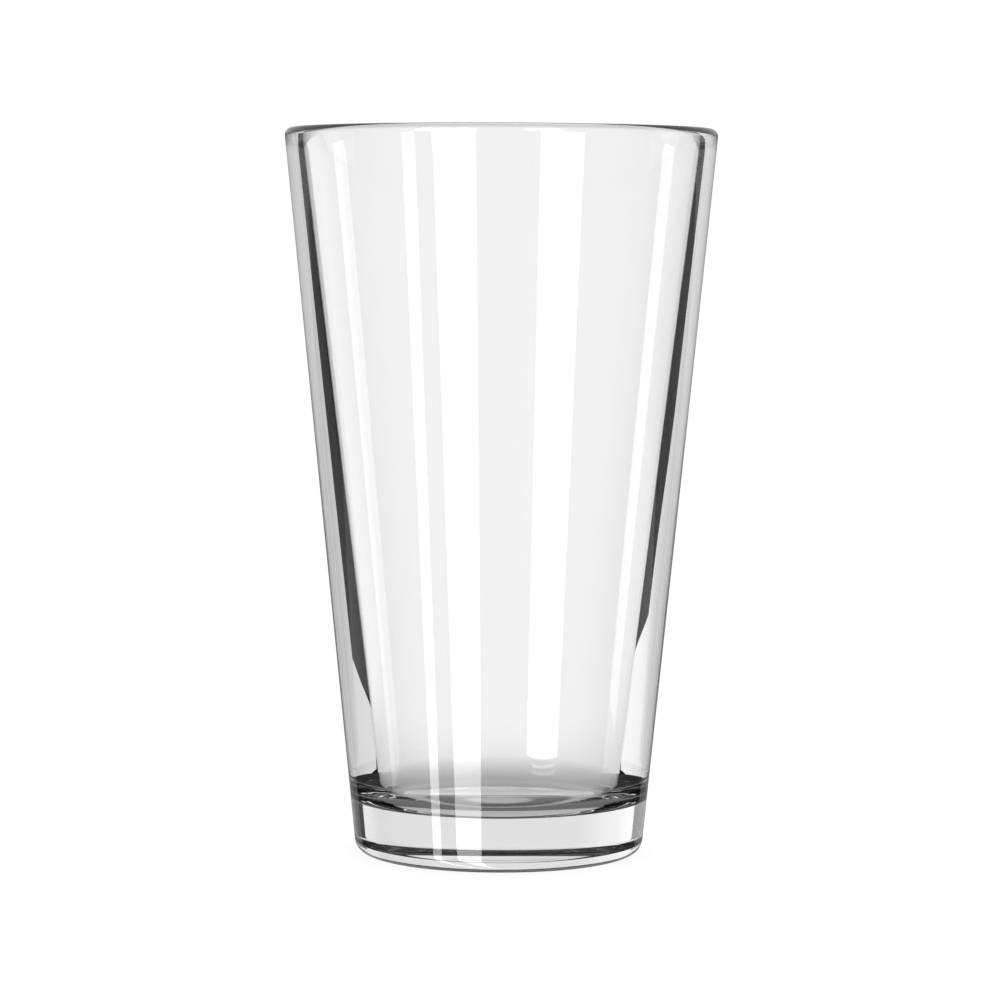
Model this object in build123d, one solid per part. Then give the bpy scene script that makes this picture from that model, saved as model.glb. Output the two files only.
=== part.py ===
"""Bar mixing glass: one pressed piece of thick clear glass, made by turning its half section once round.

Millimetres, +Z up.  The origin is the middle of the ring that the glass stands on, so that Z = 0 is the bar top.
The half section is drawn flat, with the radius along X and the height along Y, then stood up and turned.
"""

from build123d import *
import os
from math import atan, pi, tan

# Overall sizes.  The two diameters are those of the straight side, carried on past its rounded ends.
HEIGHT = 149.2
RIM_DIAMETER = 89.0
BASE_DIAMETER = 60.4

# Glass thickness, measured level
WALL_AT_RIM = 3.4
WALL_AT_FLOOR = 7.0
FLOOR_THICKNESS = 10.3

# Inside of the floor
FLOOR_DISH = 0.7  # how far the middle of the floor lies below its edge
FLOOR_FILLET = 6.5

# Rounded edges outside
RIM_EDGE_RADIUS = 1.6
HEEL_RADIUS = 3.2

# Underside: a narrow standing ring round a shallow hollow
RING_WIDTH = 2.2
HOLLOW_DEPTH = 1.5
RING_EDGE_RADIUS = 0.8

# A rim edge takes at most this share of the wall, so that the two edges of the rim never meet
RIM_EDGE_SHARE = 0.48

NODE = "glass_body"


def outer_radius(height):
    """Radius of the straight outer side at a height above the bar top."""
    return BASE_DIAMETER / 2 + (RIM_DIAMETER - BASE_DIAMETER) / 2 * height / HEIGHT


def floor_edge():
    """Where the floor and the inner side would meet without the fillet: radius and height."""
    height = FLOOR_THICKNESS + FLOOR_DISH
    return (outer_radius(height) - WALL_AT_FLOOR, height)


def ring_inner_radius():
    """Inner edge of the standing ring, which lies inside the heel's rounding by the ring's width."""
    side_lean = atan((RIM_DIAMETER - BASE_DIAMETER) / 2 / HEIGHT)
    heel_setback = HEEL_RADIUS * tan((pi / 2 + side_lean) / 2)
    return BASE_DIAMETER / 2 - heel_setback - RING_WIDTH


def dished_line(middle_height, edge):
    """Arc of a dished face, level where it crosses the axis, out to its edge."""
    return TangentArc((0, middle_height), edge, tangent=(1, 0))


def rounded(section, corner, radius):
    """The section with the one corner at this radius and height rounded."""
    nearest = section.vertices().sort_by_distance((*corner, 0))[0]
    return fillet(nearest, radius)


def half_section():
    """Half section of the glass, from the axis out, with every edge rounded."""
    base_corner = (BASE_DIAMETER / 2, 0)
    rim_outside = (RIM_DIAMETER / 2, HEIGHT)
    rim_inside = (RIM_DIAMETER / 2 - WALL_AT_RIM, HEIGHT)
    ring_inside = (ring_inner_radius(), 0)
    underside = dished_line(HOLLOW_DEPTH, ring_inside)
    walls = Polyline(ring_inside, base_corner, rim_outside, rim_inside, floor_edge())
    floor = dished_line(FLOOR_THICKNESS, floor_edge())
    axis = Line((0, FLOOR_THICKNESS), (0, HOLLOW_DEPTH))
    section = make_face([*underside.edges(), *walls.edges(), *floor.edges(), *axis.edges()])
    rim_edge_radius = min(RIM_EDGE_RADIUS, RIM_EDGE_SHARE * WALL_AT_RIM)
    section = rounded(section, ring_inside, RING_EDGE_RADIUS)
    section = rounded(section, base_corner, HEEL_RADIUS)
    section = rounded(section, rim_outside, rim_edge_radius)
    section = rounded(section, rim_inside, rim_edge_radius)
    return rounded(section, floor_edge(), FLOOR_FILLET)


def glass_body():
    """The whole glass: its half section stood up and turned once round the upright axis."""
    body = revolve(Plane.XZ * half_section(), axis=Axis.Z)
    body.label = NODE
    return body


def main():
    """Write the glass's one node."""
    os.makedirs("parts", exist_ok=True)
    export_step(glass_body(), f"parts/{NODE}.step")


main()
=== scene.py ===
"""Bar mixing glass in thick clear pressed glass, on a pale table, lit by strip lights and dark cards."""

import math

import bpy
import numpy as np
from bpy.props import FloatProperty, FloatVectorProperty, IntProperty, PointerProperty
from mathutils import Matrix, Vector


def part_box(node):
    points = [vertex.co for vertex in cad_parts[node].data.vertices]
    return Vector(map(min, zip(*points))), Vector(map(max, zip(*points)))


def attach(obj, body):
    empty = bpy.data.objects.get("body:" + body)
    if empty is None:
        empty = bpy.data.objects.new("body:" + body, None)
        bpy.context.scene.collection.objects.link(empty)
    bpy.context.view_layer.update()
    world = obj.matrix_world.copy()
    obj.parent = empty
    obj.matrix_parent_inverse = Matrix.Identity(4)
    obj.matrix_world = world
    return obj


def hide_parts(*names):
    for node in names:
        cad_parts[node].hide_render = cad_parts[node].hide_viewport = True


bl_info = {
    "name": "Mixing glass",
    "version": (1, 0, 0),
    "blender": (4, 5, 0),
    "location": "View3D > Sidebar > Mixing glass",
    "description": "Builds a thick clear mixing glass and the table and studio that it is shown in",
    "category": "Object",
}

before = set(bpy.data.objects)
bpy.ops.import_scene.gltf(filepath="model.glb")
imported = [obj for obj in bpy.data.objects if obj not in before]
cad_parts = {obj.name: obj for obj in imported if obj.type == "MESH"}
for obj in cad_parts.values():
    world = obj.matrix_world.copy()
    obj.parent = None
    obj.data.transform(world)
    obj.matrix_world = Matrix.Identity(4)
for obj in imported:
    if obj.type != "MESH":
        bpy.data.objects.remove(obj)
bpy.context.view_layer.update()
CAD_NODE = "glass_body"
CAD_LOW, CAD_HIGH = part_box(CAD_NODE)
GLASS_HEIGHT = CAD_HIGH.z - CAD_LOW.z
MM = 0.001
QUARTER_TURN = math.pi / 2
DEGREES = 180 / math.pi

# Mesh steps along the stretches of the half section, and round the table top
DISH_STEPS = 26
RING_EDGE_STEPS = 4
ROUNDED_CORNER_STEPS = 20
RIM_EDGE_STEPS = 16
SIDE_STEPS = 44
TABLE_STEPS = 96

# The slow waves of pressing: each has its count round the glass, its change along the section and its start.
# They fade in from the axis.
WAVES = ((2, 0.9, 0), (3, -1.3, 1), (5, 0.5, 2))
WAVE_LENGTH = 20 * MM
WAVE_FADE = 10 * MM

# How the camera is turned: down from level, and about its own line of sight
LOOK_DOWN = math.radians(4.086)
ROLL = math.radians(0.235)

# How often glass turned a ray, or how many of its faces the ray crossed, between whole numbers
AT_LEAST_ONE = 0.5
ONE_OR_TWO = (0.5, 2.5)
MORE_THAN_TWO = 2.5

# The studio's plan, in degrees.  A bearing is clockwise from straight behind the glass, aside is the same on
# either hand, rise is above level and drop below it.  A pair holds both edges of a light or a card, or both
# ends of an even change in brightness.  Brightnesses stand where they are used, and 1 is white.
BROAD_STRIP = (-166.5, -141.0)
BROAD_STRIP_TAPER = 0.25
NARROW_STRIP = (-133.3, -126.0)
NARROW_STRIP_TOP = 5.9
SHORT_STRIP = (135.5, 159.3)
SHORT_STRIP_TOP = 6.1
SHORT_STRIP_MIDDLE = 147.4
SHORT_STRIP_END = 19.02
SHORT_STRIP_SLANT = 0.027
SHORT_STRIP_BOW = 0.0009
ECHO_BEARINGS = (136.5, 155.0)
FIRST_ECHO = (0.09, 0.14)
SECOND_ECHO = (0.19, 0.24)
LEFT_OVERHEAD = (-143.0, -133.0)
RIGHT_OVERHEAD = (147.0, 168.0)
OVERHEAD_END = -36.0
LEFT_STRIP = (73.5, 82.5)
LEFT_STRIP_END = 16.6
RIGHT_STRIP = (69.5, 78.0)
RIGHT_STRIP_END = 15.2
SIDE_STRIPS_TOP = 5.1
SIDE_STRIPS_FADE = (12.0, 17.0)

SIDE_CARD_EDGE = 57.0
SIDE_CARD_FADE = (66.0, 95.0)
SIDE_CARD_RISE = (-12.0, 10.0)
BASE_LIGHT_LEFT = (20.0, 42.0)
BASE_LIGHT_ASIDE = (40.0, 55.0)

BACK_CARD_NEAR = 32.9
BACK_CARD_NEAR_SHIFT = 5.6
BACK_CARD_SHIFT_DROP = (8.0, 11.5)
BACK_CARD_FAR = 34.5
BACK_CARD_SPREAD = 1.35
BACK_CARD_TIP = 7.25
BACK_CARD_TIP_RIGHT = 0.85
BACK_CARD_TIP_SLANT = 0.145
HAZE_BESIDE_CARD = (33.0, 57.0)
EIGHTH = 45.0
EIGHTH_CARD_HALF_WIDTH = 11.0
NO_EIGHTH_CARD_ASIDE = 62.0
NO_EIGHTH_CARD_DROP = 16.0
WALL_LOWER_DROP = (10.5, 13.0)
WALL_LEFT_TO_RIGHT = (-20.0, 20.0)
WALL_ASIDE_FADE = (70.0, 105.0)
WALL_RISE_FADE = (10.0, 25.0)
TURNED_OFTEN_DROP = (8.0, 12.5)

SOFT_LIGHT_EDGE = 48.0
SOFT_LIGHT_SPREAD = 1.83
SOFT_LIGHT_FADE = (2.0, 20.0)
SOFT_LIGHT_TOP = 3.0
SOFT_LIGHT_END = (13.8, 15.2)
SKY_RISE = 3.0
SKY_ASIDE = 70.0
DIM_BACK_ASIDE = 38.0

BOWL_LIGHT_ASIDE = 60.0
BOWL_LIGHT_LEVEL = (0.0, 5.0)
BOWL_LIGHT_HIGH = (25.0, 50.0)
BOWL_VIEW_DROP = (9.0, 32.0)

# The table and its painted shade, as distances from the glass's axis
SHADE_REACH = (22 * MM, 42 * MM)
BOWL_TABLE_FADE = (110 * MM, 190 * MM)
BOWL_SHADE_START = 35 * MM
BOWL_SHADE_FLAT = 38 * MM
BOWL_SHADE_LENGTH = 48 * MM
# Painted shadow ring under the floor, and painted shade close to the base for light that the wall turned
PAINTED_RING_SHADOW_INSIDE = (6 * MM, 9 * MM)
PAINTED_RING_SHADOW_OUTSIDE = (14.5 * MM, 18 * MM)
WEDGE_REACH = 78 * MM
WEDGE_SHADE_PALER = 44 * MM
WEDGE_SHADE_PALEST = 22 * MM


def length(name, description, default):
    """A property that holds a length in metres."""
    return FloatProperty(name=name, description=description, default=default, unit="LENGTH",
                         subtype="DISTANCE", precision=5)


class GlassSizes(bpy.types.PropertyGroup):
    """Sizes of the glass's half section, and how finely it is meshed."""

    foot_radius: length("Foot radius", "Radius of the solid's side, carried on to the table", 30.2 * MM)
    top_radius: length("Top radius", "Radius of the solid's side, carried on to the rim's height", 44.5 * MM)
    wall_at_rim: length("Wall at rim", "Thickness of the wall at the rim, measured level", 3.4 * MM)
    wall_at_floor: length("Wall at floor", "Thickness of the wall at the floor, measured level", 7.0 * MM)
    floor_thickness: length("Floor thickness", "Height of the middle of the floor", 10.3 * MM)
    floor_dish: length("Floor dish", "How far the floor's middle lies below its edge", 0.7 * MM)
    floor_fillet: length("Floor fillet", "Radius between the floor and the wall", 6.5 * MM)
    rim_edge: length("Rim edge", "Radius of the rim's two edges", 1.6 * MM)
    heel_radius: length("Heel radius", "Radius between the side and the standing ring", 3.2 * MM)
    ring_width: length("Ring width", "Width of the ring that the glass stands on", 2.2 * MM)
    hollow_depth: length("Hollow depth", "Depth of the hollow under the base", 1.5 * MM)
    ring_edge: length("Ring edge", "Radius between the standing ring and the hollow", 0.8 * MM)
    inset: length("Inset", "How far the skin is moved in, to keep it inside the solid's box", 0.03 * MM)
    ripple: length("Ripple", "Depth of the slow waves that pressing leaves in every face", 0.04 * MM)
    turns: IntProperty(name="Steps round", description="Mesh steps round the glass", default=480, min=32)


class GlassFinish(bpy.types.PropertyGroup):
    """Finish of the clear glass."""

    tint: FloatVectorProperty(name="Tint", description="Colour of the glass", subtype="COLOR", size=3,
                              default=(0.992, 0.994, 0.993), min=0, max=1)
    bend: FloatProperty(name="Refractive index", description="How strongly the glass bends light",
                        default=1.52)
    smear: FloatProperty(name="Smear", description="Roughness of the least polished patches", default=0.02,
                         subtype="FACTOR", min=0, max=1)
    ripple_depth: length("Fine ripple", "Depth of the fine ripple of the fire-polished skin", 0.004 * MM)


class StudioSettings(bpy.types.PropertyGroup):
    """The table, the light round it and the camera."""

    white: FloatProperty(name="White", description="Brightness of the table and of the studio round it",
                         default=1.05)
    strip: FloatProperty(name="Strip", description="Brightness of the strip lights", default=7.0)
    table_radius: length("Table radius", "Radius of the table top", 3.0)
    camera_distance: length("Camera distance", "Level distance from the glass to the camera", 775 * MM)
    camera_height: length("Camera height", "Height of the camera above the table", 128.3 * MM)
    picture_width: length("Picture width", "Width of the view at the glass", 205.5 * MM)


def arc(centre, radius, start, end, count):
    """Points of a circle between two angles, as rows of radius and height."""
    turn = np.linspace(start, end, count)
    return np.stack([centre[0] + radius * np.cos(turn), centre[1] + radius * np.sin(turn)], axis=1)


def half_section(size):
    """Half section of the glass, from the middle of its underside, round the rim, to the middle of its floor.

    Straight sides and a flat ring joined by arcs.  The rim's arcs touch their sides, radius / tan(angle / 2)
    from the corners that they round.  The heel's arc lies 2 * radius * tan(lean) further in than that, so the
    outer side leans a little more, to meet the arc's end at a slight corner.  The hollow and the floor are
    wide arcs, level at the axis, and the small arcs at their edges touch them.
    """
    foot, top, height = size.foot_radius, size.top_radius, GLASS_HEIGHT
    lean = math.atan((top - foot) / height)

    ring_outer = foot - size.heel_radius * math.tan((QUARTER_TURN + lean) / 2)
    ring_inner = ring_outer - size.ring_width
    hollow_radius = (ring_inner**2 + size.hollow_depth**2) / (2 * size.hollow_depth)
    hollow_middle = size.hollow_depth - hollow_radius
    edge_height = size.ring_edge - hollow_middle
    edge_radius = math.sqrt((hollow_radius + size.ring_edge) ** 2 - edge_height**2)
    edge_turn = math.atan2(edge_height, edge_radius)
    hollow = arc((0, hollow_middle), hollow_radius, QUARTER_TURN, edge_turn, DISH_STEPS)
    ring_edge = arc((edge_radius, size.ring_edge), size.ring_edge, edge_turn + math.pi, 3 * QUARTER_TURN,
                    RING_EDGE_STEPS)
    heel = arc((ring_outer, size.heel_radius), size.heel_radius, -QUARTER_TURN, -lean, ROUNDED_CORNER_STEPS)

    floor_edge = size.floor_thickness + size.floor_dish
    wall_foot = foot + (top - foot) * floor_edge / height - size.wall_at_floor
    wall_top = top - size.wall_at_rim
    inner_lean = math.atan((wall_top - wall_foot) / (height - floor_edge))
    rim_middle = top - size.rim_edge / math.tan((QUARTER_TURN - lean) / 2)
    inner_rim_middle = wall_top + size.rim_edge / math.tan((QUARTER_TURN + inner_lean) / 2)
    rim_height = height - size.rim_edge
    rim_outside = arc((rim_middle, rim_height), size.rim_edge, -lean, QUARTER_TURN, RIM_EDGE_STEPS)
    rim_inside = arc((inner_rim_middle, rim_height), size.rim_edge, QUARTER_TURN, math.pi - inner_lean,
                     RIM_EDGE_STEPS)

    dish_radius = (wall_foot**2 + size.floor_dish**2) / (2 * size.floor_dish)
    dish_middle = size.floor_thickness + dish_radius
    fillet_middle = touching_circle(wall_foot, floor_edge, inner_lean, dish_middle, dish_radius,
                                    size.floor_fillet)
    fillet_turn = math.atan2(fillet_middle[1] - dish_middle, fillet_middle[0])
    floor_fillet = arc(fillet_middle, size.floor_fillet, -inner_lean, fillet_turn, ROUNDED_CORNER_STEPS)
    floor = arc((0, dish_middle), dish_radius, fillet_turn, -QUARTER_TURN, DISH_STEPS)

    outer_side = np.linspace(heel[-1], rim_outside[0], SIDE_STEPS)
    inner_side = np.linspace(rim_inside[-1], floor_fillet[0], SIDE_STEPS)
    return np.concatenate([hollow, ring_edge[1:], heel, outer_side[1:-1], rim_outside, rim_inside,
                           inner_side[1:-1], floor_fillet, floor[1:]])


def touching_circle(foot_radius, foot_height, lean, dish_middle, dish_radius, radius):
    """Middle of the circle that touches the leaning inner wall and the dished floor from inside the bowl.

    It lies a radius in from the wall, so on a line alongside it, and dish_radius - radius from the dish's
    middle.  Both give its rise above the floor's edge, as the lower root of a quadratic.
    """
    start = foot_radius - radius / math.cos(lean)
    slope = math.tan(lean)
    drop = dish_middle - foot_height
    square = 1 + slope**2
    linear = 2 * (start * slope - drop)
    rest = start**2 + drop**2 - (dish_radius - radius) ** 2
    rise = (-linear - math.sqrt(linear**2 - 4 * square * rest)) / (2 * square)
    return (start + rise * slope, foot_height + rise)


def turned_surface(section, size):
    """Vertices and faces of a half section turned once round the upright axis, closed by a point at each end.

    A row of the grid is one point of the section, at radius r and height z, carried round by the angle a to
    (r cos a, r sin a, z).  Pressing leaves slow waves: every point lies a little way into the glass, along
    the section's own normal, by the ripple times half of 1 + the mean of the sines in WAVES.  The waves fade
    out to nothing at the axis.  The radius also loses the inset.
    """
    turns = size.turns
    angle = np.linspace(0, 2 * math.pi, turns, endpoint=False)
    rows = section[1:-1]
    way = np.concatenate([[0], np.cumsum(np.linalg.norm(np.diff(rows, axis=0), axis=1))])
    along = np.gradient(rows, way, axis=0)
    along /= np.linalg.norm(along, axis=1, keepdims=True)
    way, angle_grid = np.meshgrid(way / WAVE_LENGTH, angle, indexing="ij")
    wave = sum(np.sin(count * angle_grid + change * way + start) for count, change, start in WAVES)
    wave = wave / len(WAVES)
    fade = np.clip(rows[:, :1] / WAVE_FADE, 0, 1)
    depth = size.ripple * fade * (1 + wave) / 2
    radius = rows[:, :1] - size.inset - depth * along[:, 1:]
    height = rows[:, 1:] + depth * along[:, :1]
    points = np.stack([radius * np.cos(angle_grid), radius * np.sin(angle_grid), height], axis=2)
    points = points.reshape(-1, 3)
    ends = [[0, 0, section[0, 1]], [0, 0, section[-1, 1]]]
    row, column = np.meshgrid(np.arange(len(rows) - 1), np.arange(turns), indexing="ij")
    after = (column + 1) % turns
    sides = np.stack([row * turns + column, row * turns + after, (row + 1) * turns + after,
                      (row + 1) * turns + column], axis=2).reshape(-1, 4)
    first, last = len(points), len(points) + 1
    column, after = np.arange(turns), (np.arange(turns) + 1) % turns
    top_row = (len(rows) - 1) * turns
    under = np.stack([np.full(turns, first), after, column], axis=1)
    floor = np.stack([np.full(turns, last), top_row + column, top_row + after], axis=1)
    return np.concatenate([points, ends]), sides, np.concatenate([under, floor])


def mesh_object(name, points, faces, material):
    """New smooth-shaded mesh object, at the origin, with its place in its mesh."""
    mesh = bpy.data.meshes.new(name)
    mesh.from_pydata(points.tolist(), [], faces)
    mesh.shade_smooth()
    mesh.materials.append(material)
    mesh.validate()
    piece = bpy.data.objects.new(name, mesh)
    bpy.context.scene.collection.objects.link(piece)
    return piece


class Value:
    """A socket of numbers in a shader, so that shader maths reads as a Python expression."""

    def __init__(self, shader, socket):
        self.shader = shader
        self.socket = socket

    def maths(self, operation, *others, **settings):
        """The result of a Math node on this value and up to two others."""
        return self.shader.node("ShaderNodeMath", {"operation": operation, **settings},
                                {i: value for i, value in enumerate((self, *others))})

    def __add__(self, other):
        return self.maths("ADD", other)

    __radd__ = __add__

    def __mul__(self, other):
        return self.maths("MULTIPLY", other)

    __rmul__ = __mul__

    def __sub__(self, other):
        return self.maths("SUBTRACT", other)

    def __rsub__(self, other):
        return self.shader.node("ShaderNodeMath", {"operation": "SUBTRACT"}, {0: other, 1: self})

    def __truediv__(self, other):
        return self.maths("DIVIDE", other)

    def __lt__(self, other):
        return self.maths("LESS_THAN", other)

    def __gt__(self, other):
        return self.maths("GREATER_THAN", other)

    def __abs__(self):
        return self.maths("ABSOLUTE")


class Shader:
    """Node tree of a material or a world, with one method that adds any node."""

    def __init__(self, tree):
        self.tree = tree
        self.tree.nodes.clear()

    def node(self, kind, settings, inputs, output=0):
        """Adds a node, sets its settings and then its inputs, and returns the output asked for."""
        made = self.tree.nodes.new(kind)
        for name, setting in settings.items():
            setattr(made, name, setting)
        for name, value in inputs.items():
            if isinstance(value, Value):
                self.tree.links.new(value.socket, made.inputs[name])
            else:
                made.inputs[name].default_value = value
        return Value(self, made.outputs[output])

    def finish(self, kind, shader):
        """Ends the tree at an output node's surface."""
        output = self.tree.nodes.new(kind)
        self.tree.links.new(shader.socket, output.inputs["Surface"])


def clear_glass(finish):
    """Clear glass with a fire-polished skin: a fine ripple, a few duller patches and a barely green tint."""
    material = bpy.data.materials.new("clear_glass")
    material.use_nodes = True
    shader = Shader(material.node_tree)
    place = shader.node("ShaderNodeTexCoord", {}, {}, "Object")
    patches = shader.node("ShaderNodeTexNoise", {}, {"Vector": place, "Scale": 45.0, "Detail": 3.0})
    ripple = shader.node("ShaderNodeTexNoise", {}, {"Vector": place, "Scale": 75.0, "Detail": 1.0})
    smear = shader.node("ShaderNodeMapRange", {}, {
        "Value": patches,
        "From Min": 0.5,
        "From Max": 0.8,
        "To Min": 0.0,
        "To Max": finish.smear,
    })
    bump = shader.node("ShaderNodeBump", {}, {
        "Height": ripple,
        "Strength": 1.0,
        "Distance": finish.ripple_depth,
    })
    glass = shader.node("ShaderNodeBsdfPrincipled", {}, {
        "Base Color": (*finish.tint, 1),
        "Roughness": smear,
        "Normal": bump,
        "IOR": finish.bend,
        "Transmission Weight": 1.0,
    })
    shader.finish("ShaderNodeOutputMaterial", glass)
    return material


def between(value, low, high):
    """1 where the value lies between two numbers, 0 elsewhere."""
    return (value > low) * (value < high)


def smooth(value, low, high):
    """0 up to one number, 1 from the other on, and an even curve between them."""
    return value.shader.node("ShaderNodeMapRange", {"interpolation_type": "SMOOTHSTEP"},
                             {"Value": value, "From Min": low, "From Max": high})


def direction_of(shader):
    """Bearing of a direction, clockwise from straight behind the glass, and its rise, both in degrees."""
    way = shader.node("ShaderNodeTexCoord", {}, {}, "Generated")
    across = shader.node("ShaderNodeSeparateXYZ", {}, {0: way}, "X")
    back = shader.node("ShaderNodeSeparateXYZ", {}, {0: way}, "Y")
    up = shader.node("ShaderNodeSeparateXYZ", {}, {0: way}, "Z")
    return across.maths("ARCTAN2", back) * DEGREES, up.maths("ARCSINE") * DEGREES


def short_strip(bearing, drop):
    """The short strip light, with a slanting, slightly bowed end, and two faint echoes just past it."""
    off_middle = bearing - SHORT_STRIP_MIDDLE
    end = SHORT_STRIP_END + SHORT_STRIP_SLANT * off_middle - SHORT_STRIP_BOW * off_middle * off_middle
    strip = between(bearing, *SHORT_STRIP) * (drop > SHORT_STRIP_TOP) * (drop < end)
    echoes = between(drop - end, *FIRST_ECHO) * 0.5 + between(drop - end, *SECOND_ECHO) * 0.35
    return strip, echoes * between(bearing, *ECHO_BEARINGS)


def side_strips(bearing, drop):
    """A dim strip light on either hand, which leans: a step down is also a step round."""
    spread = abs(bearing) - drop
    right = between(spread, *RIGHT_STRIP) * (bearing > 0) * (drop < RIGHT_STRIP_END)
    left = between(spread, *LEFT_STRIP) * (bearing < 0) * (drop < LEFT_STRIP_END)
    return (left + right) * (drop > SIDE_STRIPS_TOP) * (0.3 - 0.12 * smooth(drop, *SIDE_STRIPS_FADE))


def strip_lights(bearing, drop):
    """Brightness of the strip lights that stand round the camera.  Only the outside mirrors them."""
    broad_start, broad_end = BROAD_STRIP
    broad = between(bearing, broad_start, broad_end - BROAD_STRIP_TAPER * drop) * (drop > OVERHEAD_END)
    narrow = between(bearing, *NARROW_STRIP) * (drop > NARROW_STRIP_TOP)
    short, echoes = short_strip(bearing, drop)
    overhead = between(bearing, *LEFT_OVERHEAD) + between(bearing, *RIGHT_OVERHEAD)
    overhead = between(drop, OVERHEAD_END, 0.0) * overhead
    return broad + narrow + short + echoes + overhead + side_strips(bearing, drop)


def light_through_base(bearing, aside, rise):
    """Light straight through the solid base: least right behind it, with a dark card on either hand."""
    card = (aside > SIDE_CARD_EDGE) * (1 - smooth(aside, *SIDE_CARD_FADE)) * between(rise, *SIDE_CARD_RISE)
    light = 0.78 + 0.2 * smooth(0 - bearing, *BASE_LIGHT_LEFT) + 0.22 * smooth(aside, *BASE_LIGHT_ASIDE)
    return light * (1 - card * (0.62 + 0.3 * (bearing > 0)))


def light_turned_by_wall(bearing, aside, rise, drop, bounces):
    """Light that the wall turned: pale, with the dark cards that draw the glass's edges.

    A card stands at each side of the back.  Its edges spread downwards and it ends in a slanting tip, with a
    haze beside it on the left.  For views from elsewhere, others stand at every eighth of a turn, away from
    those two.  Light turned three times or more is dimmer over a narrow band.
    """
    near_edge = BACK_CARD_NEAR + BACK_CARD_NEAR_SHIFT * (bearing > 0) * smooth(drop, *BACK_CARD_SHIFT_DROP)
    far_edge = BACK_CARD_FAR + BACK_CARD_SPREAD * drop
    above_tip = drop < (BACK_CARD_TIP - BACK_CARD_TIP_RIGHT * (bearing > 0) + BACK_CARD_TIP_SLANT * aside)
    back_card = (aside > near_edge) * (aside < far_edge) * above_tip
    haze = between(aside, *HAZE_BESIDE_CARD) * (bearing < 0) * above_tip
    from_eighth = abs((bearing + 4.5 * EIGHTH).maths("MODULO", EIGHTH) - EIGHTH / 2)
    eighth_card = from_eighth < EIGHTH_CARD_HALF_WIDTH
    other_card = eighth_card * (1 - (aside < NO_EIGHTH_CARD_ASIDE) * (drop < NO_EIGHTH_CARD_DROP))
    lower = smooth(drop, *WALL_LOWER_DROP)
    light = 0.69 + 0.05 * lower + (0.11 + 0.12 * lower) * smooth(bearing, *WALL_LEFT_TO_RIGHT)
    light = light * (1 - 0.9 * smooth(aside, *WALL_ASIDE_FADE)) * (1 - smooth(rise, *WALL_RISE_FADE))
    light = light * (1 - other_card) * (1 - back_card) * (1 - 0.3 * haze)
    return 0.01 + light * (1 - 0.6 * (bounces > MORE_THAN_TWO) * between(drop, *TURNED_OFTEN_DROP))


def light_off_outside(bearing, aside, rise, drop, strip):
    """What the outside mirrors: dim light behind, a soft light at each side of it, the sky and the strips."""
    past_edge = aside - SOFT_LIGHT_EDGE - SOFT_LIGHT_SPREAD * drop
    soft = (past_edge > 0) * (1 - smooth(past_edge, *SOFT_LIGHT_FADE)) * (drop > SOFT_LIGHT_TOP)
    soft = soft * (1 - smooth(drop, *SOFT_LIGHT_END))
    sky = 0.27 * (aside < DIM_BACK_ASIDE) * (rise < SKY_RISE) + 0.6 * (aside < SKY_ASIDE) * (rise > SKY_RISE)
    return 0.02 + sky + soft * (0.6 + 1.8 * (bearing < 0)) + strip * strip_lights(bearing, drop)


def light_turned_in_bowl(aside, rise):
    """Light turned on its way through the bowl: more from the back than the front, and more from above."""
    light = 0.05 + 0.2 * (aside < BOWL_LIGHT_ASIDE) + 0.25 * smooth(rise, *BOWL_LIGHT_LEVEL)
    return light + 0.4 * smooth(rise, *BOWL_LIGHT_HIGH)


def studio_light(studio):
    """The studio round the table: white in sight, with dark cards and strip lights that shape clear glass.

    Light Path tells how a ray came: how often glass turned it back, and how many faces of glass it crossed.
    Rays that were never turned see plain white, a little dimmer far down through the bowl, or the light
    through the base.  The others see the light of the wall, of the outside or of the bowl.
    """
    world = bpy.data.worlds.new("studio")
    world.use_nodes = True
    shader = Shader(world.node_tree)
    bearing, rise = direction_of(shader)
    aside = abs(bearing)
    drop = 0 - rise
    bounces = shader.node("ShaderNodeLightPath", {}, {}, "Glossy Depth")
    crossings = shader.node("ShaderNodeLightPath", {}, {}, "Transmission Depth")
    turned = bounces > AT_LEAST_ONE
    straight = 1 - turned
    through_bowl = crossings > MORE_THAN_TWO
    in_base = straight * between(crossings, *ONE_OR_TWO)
    outside = turned * (crossings < AT_LEAST_ONE)
    in_wall = turned * between(crossings, *ONE_OR_TWO)
    in_bowl = turned * through_bowl

    plain = (straight - in_base) * (1 - 0.3 * through_bowl * smooth(drop, *BOWL_VIEW_DROP))
    base_light = light_through_base(bearing, aside, rise)
    wall_light = light_turned_by_wall(bearing, aside, rise, drop, bounces)
    outside_light = light_off_outside(bearing, aside, rise, drop, studio.strip)
    bowl_light = light_turned_in_bowl(aside, rise)
    light = (plain * studio.white + in_base * base_light * studio.white
             + in_wall * wall_light * studio.white + outside * outside_light + in_bowl * bowl_light)
    background = shader.node("ShaderNodeBackground", {}, {"Color": light, "Strength": 1.0})
    shader.finish("ShaderNodeOutputWorld", background)
    world.cycles.sampling_method = "NONE"
    return world


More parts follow.
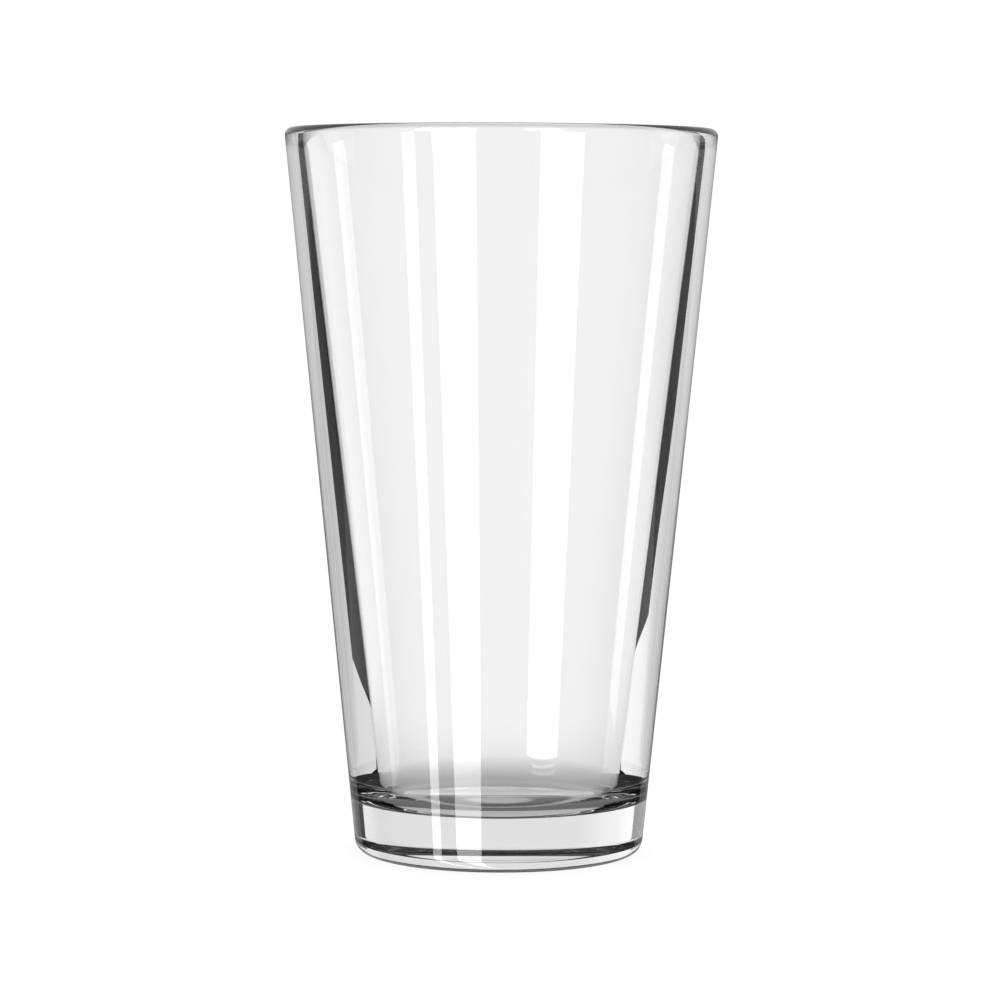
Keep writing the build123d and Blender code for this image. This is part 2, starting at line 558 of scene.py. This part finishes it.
def pale_table(studio):
    """The pale table top, evenly lit, with a faint painted shade where the glass stands.

    Seen through the bowl it carries a painted shadow of the glass, greyer towards the glass by a share that
    halves about every 33 mm away from it, with a painted dark ring of shadow under the floor.  Light that the
    wall turned meets only painted shade close to the base, and goes on past it to the studio, as light off
    the outside does.
    """
    material = bpy.data.materials.new("pale_table")
    material.use_nodes = True
    shader = Shader(material.node_tree)
    place = shader.node("ShaderNodeTexCoord", {}, {}, "Object")
    across = shader.node("ShaderNodeSeparateXYZ", {}, {0: place}, "X")
    back = shader.node("ShaderNodeSeparateXYZ", {}, {0: place}, "Y")
    reach = (across * across + back * back).maths("SQRT")
    seen = shader.node("ShaderNodeLightPath", {}, {}, "Is Camera Ray")
    turned = shader.node("ShaderNodeLightPath", {}, {}, "Glossy Depth") > AT_LEAST_ONE
    crossings = shader.node("ShaderNodeLightPath", {}, {}, "Transmission Depth")
    bowl = (1 - turned) * (crossings > MORE_THAN_TWO)
    wedge = turned * between(crossings, *ONE_OR_TWO) * (reach < WEDGE_REACH)

    # Painted shade: the table's glow is up to 12 % darker close round the glass, where its shadow would fall
    shade = 0.12 * (1 - smooth(reach, *SHADE_REACH))
    near = 1 - smooth(reach, *BOWL_TABLE_FADE)
    # Painted shadow of the glass on the table seen through the bowl: even within 38 mm of the axis, then
    # halving about every 33 mm
    fall = (BOWL_SHADE_START - reach.maths("MAXIMUM", BOWL_SHADE_FLAT)) / BOWL_SHADE_LENGTH
    depth = 0.65 * fall.maths("EXPONENT")
    # Painted shadow: a dark ring under the glass's floor, 6 to 18 mm from the axis, seen through the bowl
    under = 1 - 0.95 * smooth(reach, *PAINTED_RING_SHADOW_INSIDE) * (1 - smooth(reach, *PAINTED_RING_SHADOW_OUTSIDE))
    # Painted shade close to the base for light that the wall turned: nearly black within 78 mm, paler within
    # 44 mm, palest within 22 mm
    dark = 0.02 + 0.12 * (reach < WEDGE_SHADE_PALER) + 0.3 * (reach < WEDGE_SHADE_PALEST)
    grain = shader.node("ShaderNodeTexNoise", {}, {"Vector": place, "Scale": 60.0, "Detail": 4.0})
    light = (seen * (1 - shade) + bowl * (1 - depth) * under + wedge * dark) * studio.white + 0.01 * grain
    glow = shader.node("ShaderNodeEmission", {}, {"Color": light, "Strength": 1.0})
    clear = shader.node("ShaderNodeBsdfTransparent", {}, {"Color": (1, 1, 1, 1)})
    mixed = shader.node("ShaderNodeMixShader", {}, {0: seen + bowl * near + wedge, 1: clear, 2: glow})
    shader.finish("ShaderNodeOutputMaterial", mixed)
    return material


class MIXING_GLASS_OT_glass_body(bpy.types.Operator):
    """Build the glass: its half section turned once round, in clear glass"""

    bl_idname = "mixing_glass.glass_body"
    bl_label = "Glass body"

    def execute(self, context):
        size = context.scene.mixing_glass_sizes
        points, sides, ends = turned_surface(half_section(size), size)
        faces = sides.tolist() + ends.tolist()
        body = mesh_object("mixing_glass_body", points, faces, clear_glass(context.scene.mixing_glass_finish))
        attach(body, "root")
        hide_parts(CAD_NODE)
        return {"FINISHED"}


class MIXING_GLASS_OT_studio(bpy.types.Operator):
    """Build the table, the studio's light and the camera"""

    bl_idname = "mixing_glass.studio"
    bl_label = "Studio"

    def execute(self, context):
        studio = context.scene.mixing_glass_studio
        points, faces = table_surface(studio)
        mesh_object("table_top", points, faces, pale_table(studio))
        context.scene.world = studio_light(studio)
        context.scene.view_settings.view_transform = "Standard"
        context.scene.cycles.max_bounces = 32
        context.scene.cycles.glossy_bounces = 24
        context.scene.cycles.transmission_bounces = 24
        place_camera(context.scene, studio)
        return {"FINISHED"}


def table_surface(studio):
    """Round table top: one flat face, its corners at the radius times the cosine and sine of even angles."""
    radius = studio.table_radius
    angle = np.linspace(0, 2 * math.pi, TABLE_STEPS, endpoint=False)
    corners = np.stack([radius * np.cos(angle), radius * np.sin(angle), np.zeros(TABLE_STEPS)], axis=1)
    return corners, [list(range(TABLE_STEPS))]


def place_camera(scene, studio):
    """Camera in front of the glass, level with its upper part, looking at its middle."""
    camera = bpy.data.cameras.new("camera")
    camera.sensor_width = 36.0
    camera.lens = camera.sensor_width * studio.camera_distance / studio.picture_width
    view = bpy.data.objects.new("camera", camera)
    scene.collection.objects.link(view)
    eye = Vector((0, -studio.camera_distance, studio.camera_height))
    view.matrix_world = (Matrix.Translation(eye) @ Matrix.Rotation(QUARTER_TURN - LOOK_DOWN, 4, "X")
                         @ Matrix.Rotation(ROLL, 4, "Z"))
    scene.camera = view


class MIXING_GLASS_PT_panel(bpy.types.Panel):
    """Lists the pieces and the studio"""

    bl_idname = "MIXING_GLASS_PT_panel"
    bl_label = "Mixing glass"
    bl_space_type = "VIEW_3D"
    bl_region_type = "UI"
    bl_category = "Mixing glass"

    def draw(self, context):
        for operator in OPERATORS:
            self.layout.operator(operator.bl_idname)


OPERATORS = (MIXING_GLASS_OT_glass_body, MIXING_GLASS_OT_studio)
GROUPS = {
    "mixing_glass_sizes": GlassSizes,
    "mixing_glass_finish": GlassFinish,
    "mixing_glass_studio": StudioSettings,
}


def register():
    for kind in (*GROUPS.values(), *OPERATORS, MIXING_GLASS_PT_panel):
        bpy.utils.register_class(kind)
    for name, group in GROUPS.items():
        setattr(bpy.types.Scene, name, PointerProperty(type=group))


def unregister():
    for name in GROUPS:
        delattr(bpy.types.Scene, name)
    for kind in reversed((*GROUPS.values(), *OPERATORS, MIXING_GLASS_PT_panel)):
        bpy.utils.unregister_class(kind)


def main():
    """Builds everything."""
    register()
    bpy.ops.mixing_glass.glass_body()
    bpy.ops.mixing_glass.studio()


if __name__ == "__main__":
    main()
